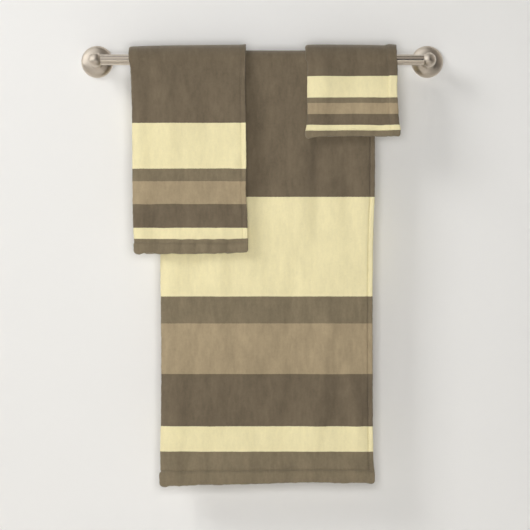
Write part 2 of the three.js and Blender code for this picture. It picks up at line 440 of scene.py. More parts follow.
def rose_profile():
    profile = [(0, 0), (ROSE_R - 0.0006, 0), (ROSE_R - 0.0002, 0.0002), (ROSE_R, 0.0006)]
    profile.append((ROSE_R, ROSE_RIM))
    for a in arc(20, math.pi / 2 * SHOULDER_TURN):
        radius = SHOULDER_R + (ROSE_R - SHOULDER_R) * math.cos(a)
        profile.append((radius, ROSE_RIM + (SHOULDER_DEPTH - ROSE_RIM) * math.sin(a)))
    flare_r, flare_depth = profile[-1]
    for a in arc(20):
        radius = NECK_R + (flare_r - NECK_R) * (1 - math.sin(a))
        profile.append((radius, flare_depth + (NECK_DEPTH - flare_depth) * (1 - math.cos(a))))
    return profile + [(NECK_R, -RAIL_Y), (0, -RAIL_Y)]


def ball_profile():
    turns = [math.pi * i / 48 for i in range(1, 48)]
    middle = [(BALL_R * math.sin(a), -BALL_R * math.cos(a)) for a in turns]
    return [(0, -BALL_R)] + middle + [(0, BALL_R)]


def drum(name, radius, low, high, axis, centre):
    return turned(name, [(0, low), (radius, low), (radius, high), (0, high)], 64, axis, centre)


def cut(made, tool, operation):
    change = made.modifiers.new("cut", "BOOLEAN")
    change.operation = operation
    change.solver = "EXACT"
    change.object = tool


def baked(made):
    """Turns live modifiers into plain mesh."""
    graph = bpy.context.evaluated_depsgraph_get()
    mesh = bpy.data.meshes.new_from_object(made.evaluated_get(graph))
    made.modifiers.clear()
    old = made.data
    made.data = mesh
    mesh.name = made.name
    bpy.data.meshes.remove(old)


def post(name, x, inwards):
    made = turned(name, rose_profile(), 128, (0, -1, 0), (x, 0, 0))
    centre = (x, RAIL_Y, 0)
    along = (inwards, 0, 0)
    hole_centre = (x, -SET_SCREW_DEPTH, 0)
    tools = [
        (turned("ball", ball_profile(), 96, along, centre), "UNION"),
        (drum("socket", SOCKET_R, SOCKET_FLOOR, 2 * BALL_R, along, centre), "DIFFERENCE"),
        (drum("recess", RECESS_R, -0.01, RECESS_DEPTH, (0, -1, 0), (x, 0, 0)), "DIFFERENCE"),
        (drum("set_hole", SET_HOLE_R, -0.035, -0.02, (0, 0, 1), hole_centre), "DIFFERENCE"),
    ]
    for tool, operation in tools:
        cut(made, tool, operation)
    baked(made)
    for tool, _ in tools:
        bpy.data.objects.remove(tool)
    edges = made.modifiers.new("edges", "BEVEL")
    edges.width = 0.0005
    edges.segments = 3
    edges.limit_method = "ANGLE"
    edges.angle_limit = math.radians(40)
    baked(made)
    made.data.polygons.foreach_set("use_smooth", [True] * len(made.data.polygons))
    sharpen(made, 40)
    return made


for node, x, inwards in (("post_left", 0.0, 1), ("post_right", 2 * RAIL_X, -1)):
    casting = post(node + "_casting", x, inwards)
    casting.data.materials.clear()
    casting.data.materials.append(nickel("brushed_nickel_" + node, "round"))
    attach(casting, "rail")
    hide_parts(node)

# ---------------------------------------------------------------- wall fixings
# Stamped steel brackets, pan-head screws and hexagon set screws, zinc plated, and nylon plugs
# and bushes. All but the set screws are hidden in the roses, the wall and the tube.


def zinc_plate():
    metal = Finish("zinc_plate")
    spangle = metal.noise(metal.place(), 700.0, 3.0, 0.6)
    stain = metal.noise(metal.place(), 90.0, 2.0)
    colour = metal.mixed(spangle, (0.40, 0.41, 0.41, 1), (0.55, 0.55, 0.53, 1))
    colour = metal.mixed(stain * 0.3, colour, (0.48, 0.44, 0.34, 1))
    return metal.surface(
        Base_Color=colour,
        Metallic=1.0,
        Roughness=0.34 + spangle * 0.16,
        Normal=metal.bump(spangle, 0.00005, 0.4),
    )


def moulded_nylon():
    nylon = Finish("moulded_nylon")
    grain = nylon.noise(nylon.place(), 1500.0, 2.0)
    cloud = nylon.noise(nylon.place(), 120.0, 2.0)
    colour = nylon.mixed(cloud, (0.74, 0.72, 0.66, 1), (0.82, 0.80, 0.75, 1))
    return nylon.surface(
        Base_Color=colour,
        Roughness=0.48 + grain * 0.12,
        Normal=nylon.bump(grain, 0.00004, 0.4),
        Subsurface_Weight=0.1,
        Subsurface_Radius=(0.002, 0.002, 0.002),
    )


for starts, finish in (
    (("wall_bracket", "wall_screw", "set_screw"), zinc_plate()),
    (("wall_plug", "rail_bush"), moulded_nylon()),
):
    for node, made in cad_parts.items():
        if node.startswith(starts):
            made.data.materials.clear()
            made.data.materials.append(finish)

# ---------------------------------------------------------------- bath towel
# One sheet of cotton velour, sheared on the printed face, folded in half along its length with
# the fold at the left and hung over the rail. Its sides and ends are hemmed and machine sewn.
LAYER = 0.0032
MID_LAYER = 0.00175
FOLD_CENTRE = MID_LAYER + LAYER / 2
PILE_PITCH = 0.0009

# The print, from the hem up to the middle of the towel, as colours on the cloth.
TAUPE = linear(112, 100, 82)
MID_TAUPE = linear(128, 116, 94)
TAN = linear(166, 149, 120)
YELLOW = linear(238, 227, 181)


def striped(finish, up, stripes, length):
    """The printed stripes. stripes are the distances from the hem at which the print changes,
    and both ends of the towel carry the same ones."""
    half = length / 2
    ramp = finish.tree.nodes.new("ShaderNodeValToRGB")
    ramp.color_ramp.interpolation = "CONSTANT"
    colours = [MID_TAUPE, YELLOW, TAUPE, TAN, MID_TAUPE, YELLOW, TAUPE]
    stops = ramp.color_ramp.elements
    stops[0].position = 0.0
    stops[0].color = colours[0]
    stops[1].position = stripes[0] / half
    stops[1].color = colours[1]
    for distance, colour in zip(stripes[1:], colours[2:]):
        stops.new(distance / half).color = colour
    from_hem = up.least(length - up)
    finish.tree.links.new((from_hem / half).socket, ramp.inputs[0])
    return Wire(finish, ramp.outputs[0])


def towel_cloth(name, stripes, length):
    """Sheared velour with cross stripes outside, and off-white loops inside the fold."""
    cloth = Finish(name)
    across, up, printed = cloth.parts(cloth.attribute("cloth"))
    on_cloth = cloth.joined(across, up, printed * 0.37)
    bleed = cloth.noise(on_cloth, 400.0, 1.0)
    print_colour = striped(cloth, up + (bleed - 0.5) * 0.0008, stripes, length)
    pile = cloth.noise(on_cloth, 1.0 / PILE_PITCH, 2.0, 0.6)
    tufts = cloth.noise(on_cloth, 230.0, 3.0, 0.6)
    nap = cloth.noise(cloth.joined(across * 34.0, up * 13.0, printed), 1.0, 3.0, 0.6)
    brushed = cloth.noise(cloth.joined(across * 150.0, up * 42.0, printed), 1.0, 3.0, 0.65)
    mottle = (nap - 0.5) * 0.72 + (brushed - 0.5) * 0.50 + (tufts - 0.5) * 0.28
    depth = 1.1 - cloth.parts(print_colour)[0] * 0.90
    shade = 0.97 + mottle * depth + (pile - 0.5) * 0.16
    face = cloth.mixed(1.0, print_colour, cloth.joined(shade, shade, shade), "MULTIPLY")
    loops = cloth.noise(on_cloth, 700.0, 2.0)
    reverse = cloth.mixed(loops, linear(226, 221, 208), linear(246, 243, 234))
    colour = cloth.mixed(printed.between(0.45, 0.55), reverse, face)
    weave = cloth.node(
        "ShaderNodeTexWave",
        {"wave_type": "BANDS", "bands_direction": "X"},
        {"Vector": on_cloth, "Scale": 130.0, "Distortion": 1.5, "Detail": 1.0},
        "Fac",
    )
    height = pile * 0.7 + tufts * 0.5 + weave * 0.12 + brushed * 0.6
    return cloth.surface(
        Base_Color=colour,
        Roughness=0.94,
        Normal=cloth.bump(height, 0.0006, 0.55),
        Sheen_Weight=0.28,
        Sheen_Roughness=0.55,
        Sheen_Tint=(1.0, 0.96, 0.88, 1.0),
        Specular_IOR_Level=0.15,
    )


def sewing_thread(name, stripes, length):
    """Polyester thread. It takes the print together with the cloth that it sews, darkened as
    painted shade so that the seam shows as a dark line.
    """
    thread = Finish(name)
    across, up, printed = thread.parts(thread.attribute("cloth"))
    print_colour = striped(thread, up, stripes, length)
    twist = thread.noise(thread.place(), 3000.0, 1.0)
    # Painted shade: the thread is darkened to between 66 and 96 per cent of the print so the seam
    # reads as a dark line; its twist varies this at random.
    shade = 0.66 + twist * 0.30
    colour = thread.mixed(1.0, print_colour, thread.joined(shade, shade, shade), "MULTIPLY")
    return thread.surface(
        Base_Color=colour,
        Roughness=0.55 + twist * 0.15,
        Normal=thread.bump(twist, 0.0001, 0.5),
        Sheen_Weight=0.1,
    )


def ease(value, low, high):
    t = np.clip((value - low) / (high - low), 0.0, 1.0)
    return t * t * (3 - 2 * t)


def bump_at(value, centre, half_width):
    t = np.clip(np.abs(value - centre) / half_width, 0.0, 1.0)
    return (1 - t * t) ** 2


def line_through(knots, value):
    """A smooth line through (place, height) knots."""
    places = np.array([knot[0] for knot in knots])
    heights = np.array([knot[1] for knot in knots])
    grade = np.diff(heights) / np.diff(places)
    before, after = grade[:-1], grade[1:]
    bend = np.where(before * after > 0, 2 * before * after / (before + after + 1e-30), 0.0)
    slopes = np.concatenate([grade[:1], bend, grade[-1:]])
    i = np.clip(np.searchsorted(places, value) - 1, 0, len(places) - 2)
    span = places[i + 1] - places[i]
    t = np.clip((value - places[i]) / span, 0.0, 1.0)
    rise = heights[i + 1] - heights[i]
    curve = t * t * (3 - 2 * t) * rise
    lead = t * (1 - t) ** 2 * slopes[i] - t * t * (1 - t) * slopes[i + 1]
    return heights[i] + curve + lead * span


def wobble(value, lengths, phase):
    """An uneven line, from -1 to 1, made of waves of the given lengths."""
    waves = [
        np.sin(2 * math.pi * value / length + phase * (k + 1.7)) for k, length in enumerate(lengths)
    ]
    return sum(waves) / len(waves)


FREE_REACH = 0.06
CORNER = 0.004
UNEVEN_HEM = 0.0006
UNEVEN_SIDE = 0.0004
BACK_INSET = 0.0022
BACK_SHARE = 0.35
VALLEY_PLACE, VALLEY_WIDTH = 0.034, 0.015
RELIEF_DEPTH = 1.25
SEAM_STRAY = 0.0011


class Towel:
    """One towel as it is cut, folded and hung. side runs across the flat sheet, from the open
    edge of the front layer, past the fold at 0, to the open edge of the layer behind it. up runs
    along the sheet, from the front hem over the rail to the back hem. In shape, left and right
    are the outline, as (distance below the rail, distance from the rail's middle). top, top_edge
    and low_edge are heights, as (share of the width, height). roll, sink and valley shape the
    front beside the fold, and relief lists its soft rises and hollows, as (across, up, width,
    length, slant in degrees, height)."""

    def __init__(self, name, flat, stripes, **shape):
        self.name = name
        self.half = flat[0] / 2
        self.length = flat[1]
        self.stripes = stripes
        vars(self).update(shape)
        self.over = flat[1] - self.front - self.back
        self.ridge = self.front + self.over / 2
        self.turn = math.pi / 2 * MID_LAYER
        self.wide = FOLD_CENTRE + self.half - self.turn
        self.phase = len(name)
        self.settled = None

    def hung(self, up, over=FREE_REACH):
        """0 where the cloth lies on the rail, and 1 where it hangs free."""
        behind = ease(up - self.front - self.over, 0.0, over)
        return np.maximum(ease(self.front - up, 0.0, over), behind)

    def line(self, across, up):
        """The middle of the doubled cloth, before it settles."""
        t = across / self.wide
        from_end = np.minimum(up, self.length - up)
        down_front = np.clip(self.front - up, 0.0, None)
        down_back = np.clip(up - self.front - self.over, 0.0, None)
        down = np.minimum(down_front + down_back, self.front)
        angle = np.clip((up - self.front) / self.over, 0.0, 1.0) * math.pi
        rise = line_through(self.top, t) + line_through(self.top_edge, t)
        y = RAIL_Y - self.reach * np.cos(angle)
        z = RAIL_Z + rise * np.sin(angle) - down_front - down_back
        z = z + line_through(self.low_edge, t) * (1 - ease(from_end, 0.0, 2.2 * self.hem))
        uneven = wobble(across, (0.047, 0.023, 0.0121), self.phase)
        z = z + UNEVEN_HEM * uneven * (1 - ease(from_end, 0.0, 0.012))
        inset = BACK_INSET * ease(down_back, 0.0, 0.04)
        left = line_through(self.left, down) + inset
        right = line_through(self.right, down) - inset
        left = left + UNEVEN_SIDE * wobble(up, (0.071, 0.037, 0.019, 0.0113), self.phase)
        right = right + UNEVEN_SIDE * wobble(up, (0.063, 0.031, 0.017, 0.0107), self.phase + 2)
        rounded = CORNER * (1 - np.sqrt(1 - np.clip(1 - from_end / CORNER, 0, 1) ** 2))
        x = RAIL_X + left + rounded + (right - left - 1.8 * rounded) * t
        return np.stack(np.broadcast_arrays(x, y, z), axis=-1)

    def middle(self, across, up):
        """The middle of the doubled cloth after it settles."""
        place = self.line(across, up)
        if self.settled is not None:
            place = place + sampled(self.settled, self.steps, across, up)
        in_front = np.where(up < self.ridge, 1.0, BACK_SHARE)
        roll = self.roll * (1 - np.exp(-across.clip(0, None) / self.roll_width)) - self.sink
        valley = self.valley * np.exp(-(((across - VALLEY_PLACE) / VALLEY_WIDTH) ** 2))
        depth = (roll - valley) * in_front * self.hung(up)
        for centre, height, narrow, long, slant, rise in self.relief:
            turn = math.radians(slant)
            a, b = across - centre, up - height
            along = a * math.sin(turn) + b * math.cos(turn)
            aside = a * math.cos(turn) - b * math.sin(turn)
            fade = np.exp(-((aside / narrow) ** 2) - (along / long) ** 2)
            depth = depth + RELIEF_DEPTH * rise * fade
        facing = np.where(up < self.ridge, -1.0, 1.0)
        place[..., 1] += facing * depth
        return place

    def thin(self, side, up):
        """How much of its thickness the cloth has: it is rounded off at its edges."""
        edge = np.minimum(self.half - np.abs(side), np.minimum(up, self.length - up))
        near = np.clip(edge / (LAYER / 2), 0.0, 1.0)
        return np.sqrt(1 - (1 - near) ** 2)

    def seam_wave(self, side):
        """How far the hem's seam strays from a straight line."""
        return SEAM_STRAY * wobble(side, (0.055, 0.027, 0.0131), self.phase + 1)

    def swell(self, side, up):
        """The cloth's outer face, above its plain thickness: thicker hems, with the groove that
        the stitching pulls into them."""
        from_end = np.minimum(up, self.length - up) - self.seam_wave(side)
        from_side = self.half - np.abs(side)
        side_rise = self.side_rise * (0.3 + 0.7 * self.hung(up, 0.03))
        thick = np.maximum(
            self.hem_rise * ease(self.hem - from_end, -0.001, 0.0045),
            side_rise * ease(self.side_hem - from_side, -0.0005, self.side_slope),
        )
        ends = bump_at(from_end, self.hem, 0.0026)
        sides = bump_at(from_side, self.side_hem, 0.0024)
        sides = sides * ease(from_end, self.hem - 0.002, self.hem)
        pull = self.groove * np.maximum(ends, sides)
        return thick - pull * self.hung(up, 0.03)

    def place(self, side, up, height):
        """A point at a height above the middle of the single sheet. Positive is the outside."""
        side, up, height = np.broadcast_arrays(side, up, height)
        phi = np.clip((1 - side / self.turn) * math.pi / 2, 0.0, math.pi)
        across = FOLD_CENTRE - MID_LAYER * np.sin(phi)
        across = across + np.clip(np.abs(side) - self.turn, 0.0, None)
        out = np.cos(phi) * (MID_LAYER + height)
        aside = -np.sin(phi) * height
        step = 0.0004
        ahead = self.middle(across + step, up) - self.middle(across - step, up)
        above = self.middle(across, up + step) - self.middle(across, up - step)
        ahead /= np.linalg.norm(ahead, axis=-1, keepdims=True)
        facing = np.cross(ahead, above)
        facing /= np.linalg.norm(facing, axis=-1, keepdims=True)
        middle = self.middle(across, up)
        return middle + ahead * aside[..., None] + facing * out[..., None]

    def outside(self, side, up, lift=0.0):
        height = LAYER / 2 * self.thin(side, up) + self.swell(side, up) + lift
        return self.place(side, up, height)


def sampled(table, steps, across, up):
    """Smooth values between the points of a table with even steps along up and across."""
    def weights(value, step, count):
        t = np.clip(value / step, 0.0, count - 1.0001)
        first = t.astype(int)
        f = t - first
        shares = (
            0.5 * f * (-1 + f * (2 - f)),
            0.5 * (2 + f * f * (3 * f - 5)),
            0.5 * f * (1 + f * (4 - 3 * f)),
            0.5 * f * f * (f - 1),
        )
        return [(np.clip(first + k - 1, 0, count - 1), share) for k, share in enumerate(shares)]

    across, up = np.broadcast_arrays(across, up)
    total = 0
    for row, row_share in weights(up, steps[0], table.shape[0]):
        for column, column_share in weights(across, steps[1], table.shape[1]):
            total = total + table[row, column] * (row_share * column_share)[..., None]
    return total


SETTLE_STEP = 0.008
SETTLE_LIMIT = 0.0030
SETTLE_FRAMES = 30
SETTLE_SLACK = 0.009
SETTLE_WAVE = 0.0005
CLOTH_SETTINGS = {
    "quality": 6,
    "mass": 0.02,
    "tension_stiffness": 80,
    "compression_stiffness": 80,
    "shear_stiffness": 30,
    "bending_stiffness": 0.8,
    "tension_damping": 10,
    "compression_damping": 10,
    "bending_damping": 1,
    "air_damping": 4,
}


def settle(towel, seed, share=1.0):
    """Lets the hung cloth settle under its own weight: a cloth simulation of the doubled sheet
    with a little slack across its width, held where it lies on the rail."""
    columns = round(towel.wide / SETTLE_STEP) + 1
    rows = round(towel.length / SETTLE_STEP) + 1
    across = np.linspace(0, towel.wide, columns)[None, :]
    up = np.linspace(0, towel.length, rows)[:, None]
    towel.steps = (towel.length / (rows - 1), towel.wide / (columns - 1))
    start = towel.line(across, up)
    across, up = np.broadcast_arrays(across, up)
    hung = towel.hung(up, 0.10)
    rng = np.random.default_rng(seed)
    waves = np.zeros(across.shape)
    for _ in range(9):
        length = rng.uniform(0.06, 0.18)
        slope = rng.uniform(-0.35, 0.35)
        phase = rng.uniform(0, 2 * math.pi)
        waves += np.sin(2 * math.pi * (across + slope * up) / length + phase)
    begun = start.copy()
    begun[..., 1] += SETTLE_WAVE * waves * hung
    middle = (begun[..., 0].min() + begun[..., 0].max()) / 2
    begun[..., 0] = middle + (begun[..., 0] - middle) * (1 - SETTLE_SLACK * hung)
    faces = [
        (r * columns + c, r * columns + c + 1, (r + 1) * columns + c + 1, (r + 1) * columns + c)
        for r in range(rows - 1)
        for c in range(columns - 1)
    ]
    made = plain_mesh(towel.name + "_settling", begun.reshape(-1, 3), faces)
    made.shape_key_add(name="Basis")
    key = made.shape_key_add(name="rest")
    key.data.foreach_set("co", start.reshape(-1, 3).ravel())
    held = made.vertex_groups.new(name="held")
    held.add([int(i) for i in np.flatnonzero(hung.ravel() < 0.5)], 1.0, "REPLACE")
    cloth = made.modifiers.new("cloth", "CLOTH")
    settings = cloth.settings
    for setting, value in CLOTH_SETTINGS.items():
        setattr(settings, setting, value)
    settings.vertex_group_mass = "held"
    settings.rest_shape_key = key
    cloth.collision_settings.use_collision = False
    scene = bpy.context.scene
    scene.frame_start, scene.frame_end = 1, SETTLE_FRAMES
    cloth.point_cache.frame_start, cloth.point_cache.frame_end = 1, SETTLE_FRAMES
    for frame_number in range(1, SETTLE_FRAMES + 1):
        scene.frame_set(frame_number)
    graph = bpy.context.evaluated_depsgraph_get()
    done = made.evaluated_get(graph)
    places = np.zeros(len(done.data.vertices) * 3, np.float32)
    done.data.vertices.foreach_get("co", places)
    bpy.data.objects.remove(made)
    scene.frame_set(1)
    moved = places.reshape(rows, columns, 3).astype(float) - start
    moved[..., 2] = 0
    moved[..., 0] *= 0.3
    moved[..., 1] = SETTLE_LIMIT * np.tanh(moved[..., 1] * share / SETTLE_LIMIT)
    moved *= hung[..., None]
    towel.settled = moved


def spread(*marks):
    """Sample places. Each mark is a place and the step from there to the next mark."""
    found = []
    for (low, step), (high, _) in zip(marks, marks[1:]):
        count = max(1, math.ceil(abs(high - low) / step - 1e-6))
        found += [low + (high - low) * i / count for i in range(count)]
    return np.array(found + [marks[-1][0]])


EDGE_STEPS = (0.0, 0.0001, 0.0003, 0.0007, 0.0012)
FOLD_REACH, FOLD_STEP = 0.014, 0.002
SADDLE_LEAD, SADDLE_STEP = 0.012, 0.0024
RIDGE_LEAD, RIDGE_STEP = 0.0012, 0.0004


def edge_places(hem):
    """Sample places from an edge of the sheet to just past its stitching."""
    plain = spread((0.0017, 0.0025), (hem - 0.0028, 0.0007), (hem + 0.0028, 0.003))
    return np.concatenate([EDGE_STEPS, plain])


def quads(grid):
    """The faces between the points of a grid."""
    corners = [grid[:-1, :-1], grid[:-1, 1:], grid[1:, 1:], grid[1:, :-1]]
    return np.stack(corners, -1).reshape(-1, 4)


def half_shell(towel, name, forward, step, behind_step):
    """One towel from its hem to the ridge over the rail, as a closed shell of both layers."""
    edge = edge_places(towel.side_hem)
    fold = spread((FOLD_REACH, FOLD_STEP), (towel.turn, towel.turn / 6), (0.0, 1.0))
    outer = spread((towel.half - edge[-1], step), (FOLD_REACH, 1.0))
    inner = spread((towel.half - edge[-1], behind_step), (FOLD_REACH, 1.0))
    near = np.concatenate([towel.half - edge, outer[1:], fold[1:]])
    far = np.concatenate([towel.half - edge, inner[1:], fold[1:-1]])
    side = np.concatenate([near, -far[::-1]])
    hem_rows = edge_places(towel.hem)
    to_ridge = towel.ridge if forward else towel.length - towel.ridge
    rest = spread(
        (hem_rows[-1], step),
        (to_ridge - towel.over / 2 - SADDLE_LEAD, SADDLE_STEP),
        (to_ridge - RIDGE_LEAD, RIDGE_STEP),
        (to_ridge, 1.0),
    )
    up = np.concatenate([hem_rows, rest[1:]])
    if not forward:
        up = towel.length - up
    side, up = np.meshgrid(side, up)
    half = LAYER / 2 * towel.thin(side, up)
    outside = towel.place(side, up, half + towel.swell(side, up))
    inside = towel.place(side, up, -half)
    rows, columns = side.shape
    from_end = np.minimum(up, towel.length - up)
    lining = (from_end < towel.hem) | (towel.half - np.abs(side) < towel.side_hem)
    points = np.concatenate([outside.reshape(-1, 3), inside.reshape(-1, 3)])
    cloth = np.stack([side, up, np.ones_like(side)], axis=-1).reshape(-1, 3)
    under = np.stack([side, up, lining.astype(float)], axis=-1).reshape(-1, 3)
    cloth = np.concatenate([cloth, under])
    top = np.arange(rows * columns).reshape(rows, columns)
    low = top + rows * columns
    low[0] = top[0]
    low[:, 0] = top[:, 0]
    low[:, -1] = top[:, -1]
    rim = np.stack([top[-1, :-1], top[-1, 1:], low[-1, 1:], low[-1, :-1]], -1)
    faces = np.concatenate([quads(top), quads(low)[:, ::-1], rim])
    used, places = np.unique(faces, return_inverse=True)
    points, cloth = points[used], cloth[used]
    faces = places.reshape(-1, 4)
    corners = points[faces]
    middle = corners.mean(1)
    area = np.cross(corners[:, 2] - corners[:, 0], corners[:, 3] - corners[:, 1])
    if (area * middle).sum() < 0:
        faces = faces[:, ::-1]
    faces = [tuple(dict.fromkeys(face)) for face in faces.tolist()]
    made = plain_mesh(name, points, [face for face in faces if len(face) > 2])
    carried = made.data.attributes.new("cloth", "FLOAT_VECTOR", "POINT")
    carried.data.foreach_set("vector", cloth.ravel())
    sharpen(made, 55)
    return made


def stitches_tree():
    """Rows of stitches along a line: the thread shows as short rounded bars, end to end."""
    tree = bpy.data.node_groups.new("stitching", "GeometryNodeTree")
    face = tree.interface
    face.new_socket("Line", in_out="INPUT", socket_type="NodeSocketGeometry")
    for label in ("Pitch", "Stitch length", "Thread radius"):
        face.new_socket(label, in_out="INPUT", socket_type="NodeSocketFloat")
    face.new_socket("Thread", in_out="INPUT", socket_type="NodeSocketMaterial")
    face.new_socket("Stitches", in_out="OUTPUT", socket_type="NodeSocketGeometry")

    def add(kind, settings=None, inputs=None):
        return add_node(tree, kind, settings, inputs).outputs[0]

    given = add_node(tree, "NodeGroupInput").outputs
    curve = add("GeometryNodeMeshToCurve", None, {"Mesh": given["Line"]})
    evenly = {"Curve": curve, "Length": given["Pitch"]}
    points = add("GeometryNodeResampleCurve", {"mode": "LENGTH"}, evenly)
    tangent = {"Vector": add("GeometryNodeInputTangent")}
    turn = add("FunctionNodeAlignRotationToVector", {"axis": "Z"}, tangent)
    bar = add("GeometryNodeMeshUVSphere", None, {"Segments": 6, "Rings": 4, "Radius": 0.5})
    doubled = {0: given["Thread radius"], 1: 2.0}
    thick = add("ShaderNodeMath", {"operation": "MULTIPLY"}, doubled)
    sizes = {"X": thick, "Y": thick, "Z": given["Stitch length"]}
    size = add("ShaderNodeCombineXYZ", None, sizes)
    copies = {"Points": points, "Instance": bar, "Rotation": turn, "Scale": size}
    placed = add("GeometryNodeInstanceOnPoints", None, copies)
    real = add("GeometryNodeRealizeInstances", None, {"Geometry": placed})
    smooth = add("GeometryNodeSetShadeSmooth", None, {"Geometry": real})
    coloured = {"Geometry": smooth, "Material": given["Thread"]}
    finished = add("GeometryNodeSetMaterial", None, coloured)
    add_node(tree, "NodeGroupOutput", None, {"Stitches": finished})
    return tree


STITCHING = stitches_tree()
STITCH_SIZES = {"Pitch": 0.0031, "Stitch length": 0.0025, "Thread radius": 0.00042}
THREAD_LIFT = 0.00012
SEAM_POINTS = 400
SEAM_END = 0.003
RIDGE_GAP = 0.002


def stitching(towel, name, forward, material):
    """The hem and side seams of one half of a towel, on its outside."""
    if forward:
        hem_up, ridge_up = towel.hem, towel.ridge - RIDGE_GAP
    else:
        hem_up, ridge_up = towel.length - towel.hem, towel.ridge + RIDGE_GAP
    open_side = towel.half - towel.side_hem
    count = SEAM_POINTS
    side = np.linspace(towel.half - SEAM_END, -towel.half + SEAM_END, count)
    lines = [(side, hem_up + towel.seam_wave(side) * (1 if forward else -1))]
    up = np.linspace(hem_up, ridge_up, count)
    lines += [(np.full(count, open_side), up), (np.full(count, -open_side), up)]
    points, edges, carried = [], [], []
    for line_side, line_up in lines:
        start = len(points)
        points += [tuple(p) for p in towel.outside(line_side, line_up, THREAD_LIFT)]
        edges += [(start + i, start + i + 1) for i in range(count - 1)]
        carried += [value for pair in zip(line_side, line_up) for value in (*pair, 1.0)]
    mesh = bpy.data.meshes.new(name)
    mesh.from_pydata(points, edges, [])
    mesh.attributes.new("cloth", "FLOAT_VECTOR", "POINT").data.foreach_set("vector", carried)
    made = bpy.data.objects.new(name, mesh)
    bpy.context.collection.objects.link(made)
    sewing = made.modifiers.new("sewing", "NODES")
    sewing.node_group = STITCHING
    values = {**STITCH_SIZES, "Thread": material}
    for item in STITCHING.interface.items_tree:
        if item.in_out == "INPUT" and item.name in values:
            sewing[item.identifier] = values[item.name]
    baked(made)
    return made


def front_and_back(towel, step, behind_step):
    """Makes both halves of a towel, with their seams and its care label."""
    base = towel.name
    cloth = towel_cloth(base + "_velour", towel.stripes, towel.length)
    thread = sewing_thread(base + "_thread", towel.stripes, towel.length)
    front = half_shell(towel, base + "_front_cloth", True, step, behind_step)
    front_seams = stitching(towel, base + "_front_stitching", True, thread)
    back = half_shell(towel, base + "_back_cloth", False, step, behind_step)
    back_seams = stitching(towel, base + "_back_stitching", False, thread)
    for piece in (front, back):
        piece.data.materials.append(cloth)
    label = care_label(towel)
    for piece in (front, front_seams):
        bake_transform(piece)
    for piece in (back, back_seams, label):
        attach(piece, base)
    front_nodes = [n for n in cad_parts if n.startswith(base + "_front")]
    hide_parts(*front_nodes)
    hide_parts(base + "_saddle", base + "_back_drop", base + "_back_hem")
    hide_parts(base + "_care_label")


def ribbon():
    """Woven satin ribbon, off-white and blank."""
    satin = Finish("satin_ribbon")
    x, y, z = satin.parts(satin.place())
    warp = satin.noise(satin.joined(x * 4000.0, y * 300.0, z * 300.0), 1.0, 1.0)
    cloud = satin.noise(satin.place(), 90.0, 2.0)
    colour = satin.mixed(cloud, linear(236, 233, 224), linear(246, 244, 238))
    return satin.surface(
        Base_Color=colour,
        Roughness=0.36 + warp * 0.18,
        Normal=satin.bump(warp, 0.00006, 0.6),
        Sheen_Weight=0.2,
    )


SATIN = ribbon()
LABEL_THICK = 0.0005


def care_label(towel):
    """A blank satin label, folded once, with its ends sewn into the back hem. It hangs a little
    loose from the towel."""
    low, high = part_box(towel.name + "_care_label")
    columns, rows = 9, 25
    x = np.linspace(low[0], high[0], columns)[None, :]
    t = np.linspace(0, 1, rows)[:, None]
    z = high[2] - (high[2] - low[2]) * (1 - t)
    base = low[1]
    curl = 0.0012 * np.sin(math.pi * (1 - t)) + 0.0005 * np.sin(7 * (x - low[0]) / 0.02) * (1 - t)
    y = base + 0.0006 + np.abs(curl) + 0 * x
    outer = np.stack(np.broadcast_arrays(x, y + LABEL_THICK, z), -1)
    inner = np.stack(np.broadcast_arrays(x, y, z), -1)
    points = np.concatenate([outer.reshape(-1, 3), inner.reshape(-1, 3)])
    grid = np.arange(rows * columns).reshape(rows, columns)
    under = grid + grid.size
    rim = np.concatenate([grid[0], grid[1:, -1], grid[-1, -2::-1], grid[-2:0:-1, 0]])
    ahead = np.roll(rim, -1)
    edge = np.stack([rim, rim + grid.size, ahead + grid.size, ahead], -1)
    faces = np.concatenate([quads(grid), quads(under)[:, ::-1], edge])
    made = plain_mesh(towel.name + "_label", points, faces.tolist())
    recalculate(made)
    sharpen(made)
    made.data.materials.append(SATIN)
    return made


